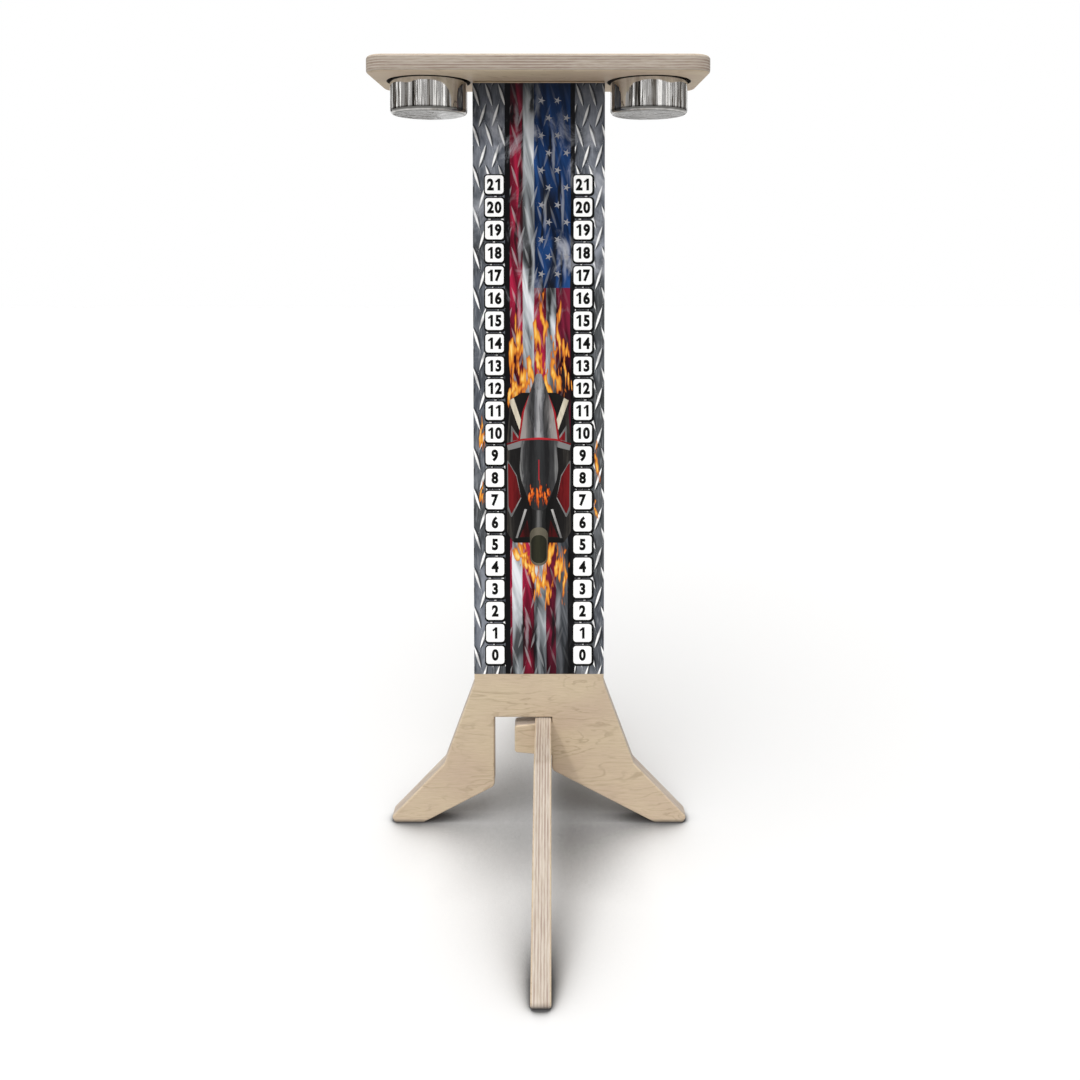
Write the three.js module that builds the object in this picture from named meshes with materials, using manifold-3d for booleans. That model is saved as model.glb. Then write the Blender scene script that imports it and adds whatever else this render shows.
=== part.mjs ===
// Free-standing score stand for lawn toss games: a plywood column that carries a printed score
// sheet, a shelf on top with two drop-in steel drink cups, and a cross foot that slides sideways
// onto a tapered tongue cut in the column's arch.
// Millimetres, +Z up, the column in the XZ plane, its printed face towards -Y. The origin is on
// the floor, midway between the column's two faces and midway between its two sides.
import * as THREE from 'three';
import { mergeVertices } from 'three/addons/utils/BufferGeometryUtils.js';
import Module from 'manifold-3d';

const wasm = await Module();
wasm.setup();

// Driving dimensions
const boardThickness = 19;
const edgeEasing = 2;
const seatGap = 0.3;

const columnWidth = 151;
const columnHeight = 865;
const flareHeight = 167;
const kneeSpan = 222;
const kneeHeight = 71;
const kneeRadius = 9;
const footSpan = 347;
const toeTipHeight = 7;
const toeTipSet = 3.5;
const toeRadius = 3;
const toePadLength = 37;

const archHeight = 126;
const archRight = 15.1;
const archCornerRadius = 7;
const tongueTopGap = 6.2;
const tongueRootHeight = 39.6;
const tongueTipHeight = 32;
const tongueProudLength = 24;
const tongueCornerRadius = 3.5;
const tongueUnderDrop = 17.2;

const crossFootLength = 514;
const crossFootPlateau = 190;
const crossFootWebHeight = 36.2;
const crossFootArchRun = 80;
const crossFootRunGap = 0.5;
const crossFootTopGap = 0.7;
const crossFootSideGap = 0.6;
const crossFootPassGap = 4.6;

const sheetThickness = 0.8;
const sheetAboveFlare = 11;

const shelfDepth = 140;
const shelfEndMargin = 9;
const shelfCornerRadius = 22;

const cupDiameter = 88;
const cupDepth = 57;
const cupWall = 1;
const cupCornerRadius = 3.5;
const cupHoleGap = 3.5;
const cupColumnGap = 7;
const cupFlangeOverlap = 5;
const cupRimDiameter = 3;

const screwCount = 3;
const screwEndMargin = 23.5;
const screwLength = 45;
const screwShankDiameter = 4.2;
const screwHeadDiameter = 8.4;
const screwHeadHeight = 4;
const screwHeadEdge = 0.5;
const screwTipLength = 6;
const screwRecessDepth = 1.8;
const screwRecessWidth = 1.1;
const screwRecessSpan = 4.6;
const screwSinkDepth = 0.4;

// How finely curves are cut
const outlineSegments = 4;
const easingSegments = 3;
const cupSides = 48;
const cupArcSteps = 5;
const holeSides = 48;
const screwSides = 20;

const materials = {
  birchPlywood: new THREE.MeshStandardMaterial({ color: 0xc9ac80, roughness: 0.6, metalness: 0 }),
  printedSheet: new THREE.MeshStandardMaterial({ color: 0x343943, roughness: 0.35, metalness: 0 }),
  polishedSteel: new THREE.MeshStandardMaterial({ color: 0xc8c8c6, roughness: 0.12, metalness: 1 }),
  screwSteel: new THREE.MeshStandardMaterial({ color: 0xb5b2a8, roughness: 0.3, metalness: 1 }),
};

// A closed outline through corners [x, y, radius], each rounded by an arc of its own radius.
function roundedShape(corners) {
  const shape = new THREE.Shape();
  const count = corners.length;
  for (let i = 0; i < count; i += 1) {
    const [x, y, radius] = corners[i];
    const here = new THREE.Vector2(x, y);
    const before = corners[(i + count - 1) % count];
    const after = corners[(i + 1) % count];
    const toBefore = new THREE.Vector2(before[0] - x, before[1] - y).normalize();
    const toAfter = new THREE.Vector2(after[0] - x, after[1] - y).normalize();
    if (!radius) {
      addPoint(shape, here, i === 0);
      continue;
    }
    const halfAngle = Math.acos(THREE.MathUtils.clamp(toBefore.dot(toAfter), -1, 1)) / 2;
    const reach = radius / Math.tan(halfAngle);
    const start = here.clone().addScaledVector(toBefore, reach);
    const end = here.clone().addScaledVector(toAfter, reach);
    const middle = toBefore.clone().add(toAfter).normalize();
    const centre = here.clone().addScaledVector(middle, radius / Math.sin(halfAngle));
    const startAngle = Math.atan2(start.y - centre.y, start.x - centre.x);
    const endAngle = Math.atan2(end.y - centre.y, end.x - centre.x);
    const clockwise = toBefore.cross(toAfter) > 0;
    addPoint(shape, start, i === 0);
    shape.absarc(centre.x, centre.y, radius, startAngle, endAngle, clockwise);
  }
  shape.closePath();
  return shape;
}

function addPoint(shape, point, first) {
  if (first) {
    shape.moveTo(point.x, point.y);
  } else {
    shape.lineTo(point.x, point.y);
  }
}

// A board cut to an outline, its thickness centred on zero, with all its edges eased.
function easedBoard(shape) {
  const board = new THREE.ExtrudeGeometry(shape, {
    depth: boardThickness - 2 * edgeEasing,
    curveSegments: outlineSegments,
    bevelEnabled: true,
    bevelThickness: edgeEasing,
    bevelSize: edgeEasing,
    bevelOffset: -edgeEasing,
    bevelSegments: easingSegments,
  });
  return board.translate(0, 0, edgeEasing - boardThickness / 2);
}

function toSolid(geometry) {
  const bare = geometry.clone();
  bare.deleteAttribute('normal');
  bare.deleteAttribute('uv');
  const merged = mergeVertices(bare, 1e-4);
  const index = merged.index.array;
  const triangles = [];
  for (let i = 0; i < index.length; i += 3) {
    const [a, b, c] = [index[i], index[i + 1], index[i + 2]];
    if (a !== b && b !== c && c !== a) triangles.push(a, b, c);
  }
  return new wasm.Manifold(new wasm.Mesh({
    numProp: 3,
    vertProperties: new Float32Array(merged.attributes.position.array),
    triVerts: new Uint32Array(triangles),
  }));
}

function toGeometry(solid) {
  const mesh = solid.getMesh();
  const geometry = new THREE.BufferGeometry();
  geometry.setAttribute('position', new THREE.BufferAttribute(mesh.vertProperties, 3));
  geometry.setIndex(new THREE.BufferAttribute(mesh.triVerts, 1));
  return geometry;
}

function cutAway(geometry, cutters) {
  const start = toSolid(geometry);
  return toGeometry(cutters.reduce((left, cutter) => left.subtract(toSolid(cutter)), start));
}

// A solid of revolution about Z from [radius, height] points that start and end on the axis.
function turned(points, sides) {
  const profile = points.map(([radius, height]) => new THREE.Vector2(radius, height));
  return new THREE.LatheGeometry(profile, sides).rotateX(Math.PI / 2);
}

// Points along an arc, as [radius, height] pairs, angles in degrees.
function arcPoints(centreRadius, centreHeight, radius, fromDegrees, toDegrees, steps) {
  const points = [];
  for (let i = 0; i <= steps; i += 1) {
    const angle = THREE.MathUtils.degToRad(fromDegrees + ((toDegrees - fromDegrees) * i) / steps);
    points.push([centreRadius + radius * Math.cos(angle), centreHeight + radius * Math.sin(angle)]);
  }
  return points;
}

// Sizes and places that follow from the driving ones
const tongueLength = crossFootSideGap + boardThickness + tongueProudLength;
const tongueTip = archRight - tongueLength;
const tongueCentreHeight = archHeight - tongueTopGap - tongueRootHeight / 2;
const tongueUnder = tongueCentreHeight - tongueRootHeight / 2;
const archLeft = tongueTip - boardThickness - crossFootPassGap;
const crossFootCentreX = archRight - crossFootSideGap - boardThickness / 2;
const crossFootTop = archHeight - crossFootTopGap;
const sheetBottom = flareHeight + sheetAboveFlare;
const shelfTop = columnHeight + seatGap + boardThickness;
const cupHoleDiameter = cupDiameter + 2 * cupHoleGap;
const cupFlangeDiameter = cupHoleDiameter + 2 * cupFlangeOverlap;
const cupSpacing = columnWidth + cupDiameter + 2 * cupColumnGap;
const shelfWidth = cupSpacing + cupFlangeDiameter + 2 * shelfEndMargin;
const screwSpacing = (columnWidth - 2 * screwEndMargin) / (screwCount - 1);
const screwXs = Array.from({ length: screwCount }, (_, i) => (i - (screwCount - 1) / 2) * screwSpacing);

// The column with its two splayed legs, the arch between them and the tongue that points into
// the arch from its right wall.
function uprightGeometry() {
  const toeInner = footSpan / 2 - toePadLength;
  const archSlope = (tongueUnder - tongueUnderDrop) / (toeInner - archRight);
  const archAt = (x) => archSlope * (toeInner - Math.abs(x));
  const rightHalf = [
    [columnWidth / 2, columnHeight, 0],
    [columnWidth / 2, flareHeight, kneeRadius],
    [kneeSpan / 2, kneeHeight, kneeRadius],
    [footSpan / 2, toeTipHeight, toeRadius],
    [footSpan / 2 - toeTipSet, 0, toeRadius],
    [toeInner, 0, toeRadius],
  ];
  const arch = [
    [archRight, archAt(archRight), archCornerRadius],
    [archRight, tongueUnder, 0],
    [tongueTip, tongueCentreHeight - tongueTipHeight / 2, tongueCornerRadius],
    [tongueTip, tongueCentreHeight + tongueTipHeight / 2, tongueCornerRadius],
    [archRight, tongueCentreHeight + tongueRootHeight / 2, 0],
    [archRight, archHeight, 0],
    [archLeft, archHeight, 0],
    [archLeft, archAt(archLeft), archCornerRadius],
  ];
  const leftHalf = rightHalf.map(([x, y, radius]) => [-x, y, radius]).reverse();
  const outline = roundedShape([...rightHalf, ...arch, ...leftHalf]);
  const board = easedBoard(outline).rotateX(Math.PI / 2);
  const pilotRadius = screwShankDiameter / 2 + seatGap;
  const pilotDepth = screwLength - boardThickness + 2 * seatGap;
  const pilots = screwXs.map((x) => {
    const pilot = new THREE.CylinderGeometry(pilotRadius, pilotRadius, 2 * pilotDepth, screwSides);
    return pilot.rotateX(Math.PI / 2).translate(x, 0, columnHeight);
  });
  return cutAway(board, pilots);
}

// The printed sheet on the column's front.
function scoreSheetGeometry() {
  const width = columnWidth - 2 * edgeEasing;
  const height = columnHeight - edgeEasing - sheetBottom;
  const y = -boardThickness / 2 - seatGap - sheetThickness / 2;
  const sheet = new THREE.BoxGeometry(width, sheetThickness, height);
  return sheet.translate(0, y, sheetBottom + height / 2);
}

// The foot that crosses the column: a flat plateau under the arch, slopes down to its two toes,
// and a tapered mortise that the column's tongue fills.
function crossFootGeometry() {
  const toeInner = crossFootLength / 2 - toePadLength;
  const frontHalf = [
    [crossFootPlateau / 2, crossFootTop, kneeRadius],
    [crossFootLength / 2, toeTipHeight, toeRadius],
    [crossFootLength / 2 - toeTipSet, 0, toeRadius],
    [toeInner, 0, toeRadius],
    [toeInner - crossFootArchRun, tongueUnder - crossFootWebHeight, kneeRadius],
  ];
  const backHalf = frontHalf.map(([x, y, radius]) => [-x, y, radius]).reverse();
  const outline = roundedShape([...frontHalf, ...backHalf]);
  const board = easedBoard(outline).rotateX(Math.PI / 2).rotateZ(Math.PI / 2);
  return cutAway(board.translate(crossFootCentreX, 0, 0), [mortiseGeometry()]);
}

// The tongue's own taper, carried past both faces of the cross foot and grown by the running gap.
function mortiseGeometry() {
  const taper = (tongueRootHeight - tongueTipHeight) / tongueLength;
  const heightAt = (x) => tongueRootHeight - taper * (archRight - x) + 2 * crossFootRunGap;
  const leftX = crossFootCentreX - boardThickness;
  const rightX = crossFootCentreX + boardThickness;
  const outline = new THREE.Shape([
    new THREE.Vector2(leftX, tongueCentreHeight - heightAt(leftX) / 2),
    new THREE.Vector2(rightX, tongueCentreHeight - heightAt(rightX) / 2),
    new THREE.Vector2(rightX, tongueCentreHeight + heightAt(rightX) / 2),
    new THREE.Vector2(leftX, tongueCentreHeight + heightAt(leftX) / 2),
  ]);
  const width = boardThickness + 2 * crossFootRunGap;
  const cutter = new THREE.ExtrudeGeometry(outline, { depth: width, bevelEnabled: false });
  return cutter.translate(0, 0, -width / 2).rotateX(Math.PI / 2);
}

// The shelf: rounded corners, two cup holes and countersunk screw holes.
function shelfGeometry() {
  const [x, y, radius] = [shelfWidth / 2, shelfDepth / 2, shelfCornerRadius];
  const outline = roundedShape([[x, -y, radius], [x, y, radius], [-x, y, radius], [-x, -y, radius]]);
  const middle = columnHeight + seatGap + boardThickness / 2;
  const board = easedBoard(outline).translate(0, 0, middle);
  const cupHoles = [-1, 1].map((side) => {
    const holeRadius = cupHoleDiameter / 2;
    const hole = new THREE.CylinderGeometry(holeRadius, holeRadius, 2 * boardThickness, holeSides);
    return hole.rotateX(Math.PI / 2).translate((side * cupSpacing) / 2, 0, middle);
  });
  const screwHoles = screwXs.map((screwX) => screwHoleGeometry().translate(screwX, 0, shelfTop));
  return cutAway(board, [...cupHoles, ...screwHoles]);
}

// Clearance for one screw, its top at the shelf's surface.
function screwHoleGeometry() {
  const shankRadius = screwShankDiameter / 2 + seatGap;
  const headRadius = screwHeadDiameter / 2 + seatGap;
  return turned([
    [0, -2 * boardThickness],
    [shankRadius, -2 * boardThickness],
    [shankRadius, -screwSinkDepth - screwHeadHeight - seatGap],
    [headRadius, -screwSinkDepth - seatGap],
    [headRadius, 1],
    [0, 1],
  ], screwSides);
}

// A countersunk wood screw with a cross recess, its head's face at zero.
function screwGeometry() {
  const shankRadius = screwShankDiameter / 2;
  const headRadius = screwHeadDiameter / 2;
  const body = turned([
    [0, -screwLength],
    [shankRadius, screwTipLength - screwLength],
    [shankRadius, -screwHeadHeight],
    [headRadius, -screwHeadEdge],
    [headRadius, 0],
    [0, 0],
  ], screwSides);
  const acrossX = new THREE.BoxGeometry(screwRecessSpan, screwRecessWidth, 2 * screwRecessDepth);
  const acrossY = new THREE.BoxGeometry(screwRecessWidth, screwRecessSpan, 2 * screwRecessDepth);
  return cutAway(body, [acrossX, acrossY]);
}

// A drop-in drink cup: a thin wall, a flat bottom, and a flange with a rolled rim that rests on
// the shelf. Its flange's underside is at zero.
function cupGeometry() {
  const outer = cupDiameter / 2;
  const inner = outer - cupWall;
  const floor = cupWall - cupDepth;
  const cornerCentre = cupCornerRadius - cupDepth;
  const rim = cupRimDiameter / 2;
  const rimCentre = cupFlangeDiameter / 2 - rim;
  const rimEnd = 180 + THREE.MathUtils.radToDeg(Math.asin((rim - cupWall) / rim));
  const innerCorner = cupCornerRadius - cupWall;
  return turned([
    [0, -cupDepth],
    ...arcPoints(outer - cupCornerRadius, cornerCentre, cupCornerRadius, -90, 0, cupArcSteps),
    [outer, 0],
    ...arcPoints(rimCentre, rim, rim, -90, rimEnd, 2 * cupArcSteps),
    ...arcPoints(inner + cupWall, 0, cupWall, 90, 180, 2),
    ...arcPoints(inner - innerCorner, floor + innerCorner, innerCorner, 0, -90, cupArcSteps),
    [0, floor],
  ], cupSides);
}

function addMesh(name, geometry, material, x = 0, y = 0, z = 0) {
  const mesh = new THREE.Mesh(geometry, material);
  mesh.name = name;
  mesh.position.set(x, y, z);
  scoreStand.add(mesh);
}

const scoreStand = new THREE.Group();
addMesh('upright', uprightGeometry(), materials.birchPlywood);
addMesh('score_sheet', scoreSheetGeometry(), materials.printedSheet);
addMesh('cross_foot', crossFootGeometry(), materials.birchPlywood);
addMesh('shelf', shelfGeometry(), materials.birchPlywood);
addMesh('cup_left', cupGeometry(), materials.polishedSteel, -cupSpacing / 2, 0, shelfTop + seatGap);
addMesh('cup_right', cupGeometry(), materials.polishedSteel, cupSpacing / 2, 0, shelfTop + seatGap);
screwXs.forEach((x, i) => {
  const name = `shelf_screw_${i + 1}`;
  addMesh(name, screwGeometry(), materials.screwSteel, x, 0, shelfTop - screwSinkDepth);
});

export default scoreStand;
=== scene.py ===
import math

import bpy
import bmesh
from mathutils import Matrix, Vector


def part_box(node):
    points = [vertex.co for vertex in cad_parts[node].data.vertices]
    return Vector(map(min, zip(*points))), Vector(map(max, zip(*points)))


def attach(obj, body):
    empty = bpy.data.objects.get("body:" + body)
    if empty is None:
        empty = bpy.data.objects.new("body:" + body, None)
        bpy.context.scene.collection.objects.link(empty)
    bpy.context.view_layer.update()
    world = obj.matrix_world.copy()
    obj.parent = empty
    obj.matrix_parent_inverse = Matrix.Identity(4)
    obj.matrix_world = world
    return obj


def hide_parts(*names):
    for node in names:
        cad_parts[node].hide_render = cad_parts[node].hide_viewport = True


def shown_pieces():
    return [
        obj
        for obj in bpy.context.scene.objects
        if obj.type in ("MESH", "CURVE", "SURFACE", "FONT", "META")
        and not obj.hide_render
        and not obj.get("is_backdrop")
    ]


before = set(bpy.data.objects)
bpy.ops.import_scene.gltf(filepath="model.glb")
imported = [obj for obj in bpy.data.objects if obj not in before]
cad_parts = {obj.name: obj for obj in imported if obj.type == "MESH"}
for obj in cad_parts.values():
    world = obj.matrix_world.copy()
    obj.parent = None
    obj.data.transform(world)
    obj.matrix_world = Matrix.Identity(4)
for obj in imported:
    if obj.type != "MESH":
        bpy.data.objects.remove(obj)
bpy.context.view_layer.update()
print("frame loaded:", len(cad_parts), "nodes")

scene = bpy.context.scene
scene.view_settings.view_transform = "Standard"
scene.view_settings.look = "None"

uprightLow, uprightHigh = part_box("upright")
footLow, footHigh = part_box("cross_foot")
shelfLow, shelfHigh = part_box("shelf")
sheetLow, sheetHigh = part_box("score_sheet")


def softenEdges(bm, smoothAngle=28):
    for edge in bm.edges:
        edge.smooth = len(edge.link_faces) == 2 and edge.calc_face_angle() < math.radians(smoothAngle)


def standUp(bm):
    # turns a drawing in the XY plane to face the front
    bmesh.ops.rotate(bm, verts=bm.verts, matrix=Matrix.Rotation(math.radians(90), 3, "X"))


def linkMesh(name, bm, material, smoothAngle=28):
    bm.normal_update()
    softenEdges(bm, smoothAngle)
    for face in bm.faces:
        face.smooth = True
    mesh = bpy.data.meshes.new(name)
    bm.to_mesh(mesh)
    bm.free()
    mesh.materials.append(material)
    made = bpy.data.objects.new(name, mesh)
    scene.collection.objects.link(made)
    return made


def evenShading(piece):
    weighted = piece.modifiers.new("evenShading", "WEIGHTED_NORMAL")
    weighted.keep_sharp = True


def cutOut(piece, cutter):
    # cuts the closed mesh cutter out of piece and keeps the result as its mesh
    cutMesh = bpy.data.meshes.new("cutter")
    cutter.to_mesh(cutMesh)
    cutter.free()
    tool = bpy.data.objects.new("cutter", cutMesh)
    scene.collection.objects.link(tool)
    boolean = piece.modifiers.new("cut", "BOOLEAN")
    boolean.operation = "DIFFERENCE"
    boolean.solver = "EXACT"
    boolean.object = tool
    seen = bpy.context.evaluated_depsgraph_get()
    result = bpy.data.meshes.new_from_object(piece.evaluated_get(seen))
    if not result.polygons:
        raise ValueError(f"the cut left nothing of {piece.name}")
    piece.modifiers.clear()
    name = piece.data.name
    old = piece.data
    piece.data = result
    bpy.data.meshes.remove(old)
    result.name = name
    bpy.data.objects.remove(tool)
    bpy.data.meshes.remove(cutMesh)
    bm = bmesh.new()
    bm.from_mesh(result)
    bmesh.ops.remove_doubles(bm, verts=bm.verts, dist=1e-6)
    softenEdges(bm)
    bm.to_mesh(result)
    bm.free()


def cornerReach(corners, index):
    # how far along its two sides the arc at a corner starts
    x, y, radius = corners[index]
    here = Vector((x, y))
    before = Vector(corners[index - 1][:2]) - here
    after = Vector(corners[(index + 1) % len(corners)][:2]) - here
    return radius / math.tan(before.angle(after) / 2)


def roundedFace(bm, corners, segments=8):
    # a flat face through corners (x, y, radius), each rounded by its own arc
    verts = [bm.verts.new((x, y, 0)) for x, y, radius in corners]
    bm.faces.new(verts)
    for index, vert in enumerate(verts):
        if corners[index][2] > 0:
            bmesh.ops.bevel(bm, geom=[vert], offset=cornerReach(corners, index), offset_type="OFFSET",
                            segments=segments, profile=0.5, affect="VERTICES", material=-1,
                            clamp_overlap=False)


def thicken(bm, depth):
    # turns the flat faces into a slab that reaches from 0 to depth
    slab = bmesh.ops.extrude_face_region(bm, geom=bm.faces[:])
    moved = [item for item in slab["geom"] if isinstance(item, bmesh.types.BMVert)]
    bmesh.ops.translate(bm, verts=moved, vec=(0, 0, depth))
    bmesh.ops.recalc_face_normals(bm, faces=bm.faces)


def easedBoard(corners, thickness, easing, segments=5):
    # a board in the XY plane, centred on zero thickness, with both its faces' edges rounded over
    bm = bmesh.new()
    roundedFace(bm, corners)
    bmesh.ops.translate(bm, verts=bm.verts, vec=(0, 0, -thickness / 2))
    thicken(bm, thickness)
    bm.normal_update()
    rims = [edge for edge in bm.edges
            if sum(abs(face.normal.z) > 0.9 for face in edge.link_faces) == 1]
    bmesh.ops.bevel(bm, geom=rims, offset=easing, offset_type="OFFSET", segments=segments,
                    profile=0.5, affect="EDGES", material=-1, clamp_overlap=False, loop_slide=False)
    return bm


def turnedShape(outline, steps, rounding=()):
    # spins a closed outline of (radius, height) points, which starts and ends on the axis
    bm = bmesh.new()
    verts = [bm.verts.new((radius, 0, height)) for radius, height in outline]
    bm.faces.new(verts)
    for index, radius in rounding:
        corners = [(radiusAt, height, radius) for radiusAt, height in outline]
        bmesh.ops.bevel(bm, geom=[verts[index]], offset=cornerReach(corners, index),
                        offset_type="OFFSET", segments=8, profile=0.5, affect="VERTICES",
                        material=-1, clamp_overlap=False)
    bmesh.ops.delete(bm, geom=bm.faces[:], context="FACES_ONLY")
    axis = [edge for edge in bm.edges if all(vert.co.x < 1e-7 for vert in edge.verts)]
    bmesh.ops.delete(bm, geom=axis, context="EDGES")
    bmesh.ops.spin(bm, geom=bm.verts[:] + bm.edges[:], cent=(0, 0, 0), axis=(0, 0, 1),
                   angle=2 * math.pi, steps=steps, use_merge=True)
    bmesh.ops.remove_doubles(bm, verts=bm.verts, dist=1e-6)
    bmesh.ops.recalc_face_normals(bm, faces=bm.faces)
    return bm


def put(tree, socket, value):
    if isinstance(value, bpy.types.NodeSocket):
        tree.links.new(value, socket)
    else:
        socket.default_value = value


def addNode(tree, kind, values=None, **settings):
    made = tree.nodes.new(kind)
    for key, value in settings.items():
        setattr(made, key, value)
    for key, value in (values or {}).items():
        put(tree, made.inputs[key], value)
    return made


def calc(tree, operation, *values):
    made = addNode(tree, "ShaderNodeMath", operation=operation)
    for index, value in enumerate(values):
        put(tree, made.inputs[index], value)
    return made.outputs[0]


def plus(tree, first, second):
    return calc(tree, "ADD", first, second)


def minus(tree, first, second):
    return calc(tree, "SUBTRACT", first, second)


def times(tree, first, second):
    return calc(tree, "MULTIPLY", first, second)


def smoothStep(tree, value, low, high):
    made = addNode(tree, "ShaderNodeMapRange", {"Value": value, "From Min": low, "From Max": high},
                   interpolation_type="SMOOTHSTEP")
    return made.outputs["Result"]


def blendColor(tree, factor, first, second, how="MIX"):
    made = addNode(tree, "ShaderNodeMix", data_type="RGBA", blend_type=how)
    put(tree, made.inputs[0], factor)
    put(tree, made.inputs[6], first)
    put(tree, made.inputs[7], second)
    return made.outputs[2]


def tint(tree, color, mask, share, paint):
    # lays paint (red, green, blue) over color where mask is, at most by share
    return blendColor(tree, times(tree, mask, share), color, (*paint, 1))


def colorSteps(tree, value, stops, interpolation="LINEAR"):
    made = addNode(tree, "ShaderNodeValToRGB", {"Fac": value})
    ramp = made.color_ramp
    ramp.interpolation = interpolation
    while len(ramp.elements) < len(stops):
        ramp.elements.new(1.0)
    for element, (place, color) in zip(ramp.elements, stops):
        element.position = place
        element.color = (*color, 1)
    return made.outputs["Color"]


def splitVector(tree, vector):
    return addNode(tree, "ShaderNodeSeparateXYZ", {"Vector": vector}).outputs


def joinVector(tree, x, y, z):
    return addNode(tree, "ShaderNodeCombineXYZ", {"X": x, "Y": y, "Z": z}).outputs[0]


def noiseAt(tree, vector, scale=1.0, detail=2.0, roughness=0.5, distortion=0.0):
    made = addNode(tree, "ShaderNodeTexNoise", {"Vector": vector, "Scale": scale, "Detail": detail,
                                                "Roughness": roughness, "Distortion": distortion})
    return made.outputs["Fac"]


def stretch(tree, vector, scale, place=(0, 0, 0), turn=(0, 0, 0)):
    made = addNode(tree, "ShaderNodeMapping", {"Vector": vector, "Location": place,
                                               "Rotation": [math.radians(angle) for angle in turn],
                                               "Scale": scale})
    return made.outputs["Vector"]


def framed(tree, place, x, z, wide, high, lean, drift=0):
    # coordinates about (x, z), one unit wide and high, leaning by so many degrees
    local = stretch(tree, place, (1, 1, 1), (-x, 0, -z))
    return stretch(tree, local, (1 / wide, 1, 1 / high), (0, drift, 0), (0, lean, 0))


def newGroup(name, inputs, outputs):
    tree = bpy.data.node_groups.new(name, "ShaderNodeTree")
    for label, kind in inputs:
        tree.interface.new_socket(name=label, in_out="INPUT", socket_type=kind)
    for label, kind in outputs:
        tree.interface.new_socket(name=label, in_out="OUTPUT", socket_type=kind)
    return tree, addNode(tree, "NodeGroupInput").outputs, addNode(tree, "NodeGroupOutput")


def useGroup(tree, group, values):
    made = addNode(tree, "ShaderNodeGroup", node_tree=group)
    for key, value in values.items():
        put(tree, made.inputs[key], value)
    return made.outputs


def newMaterial(name, **surface):
    material = bpy.data.materials.new(name)
    material.use_nodes = True
    shader = material.node_tree.nodes["Principled BSDF"]
    for label, value in surface.items():
        shader.inputs[label.replace("_", " ")].default_value = value
    return material, material.node_tree, shader


def objectPlace(tree):
    return addNode(tree, "ShaderNodeTexCoord").outputs["Object"]


def bumpFrom(tree, shader, height, depth, strength=1.0):
    bump = addNode(tree, "ShaderNodeBump", {"Height": height, "Distance": depth, "Strength": strength})
    tree.links.new(bump.outputs["Normal"], shader.inputs["Normal"])


plywood = {
    "thickness": uprightHigh.y - uprightLow.y,
    "plies": 13,
    "faceLight": (0.59, 0.485, 0.34),
    "faceDark": (0.30, 0.22, 0.135),
    "facePink": (0.52, 0.40, 0.30),
    "edgeLight": (0.57, 0.50, 0.425),
    "edgeDark": (0.34, 0.255, 0.215),
    "glueLine": (0.20, 0.14, 0.105),
}


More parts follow.
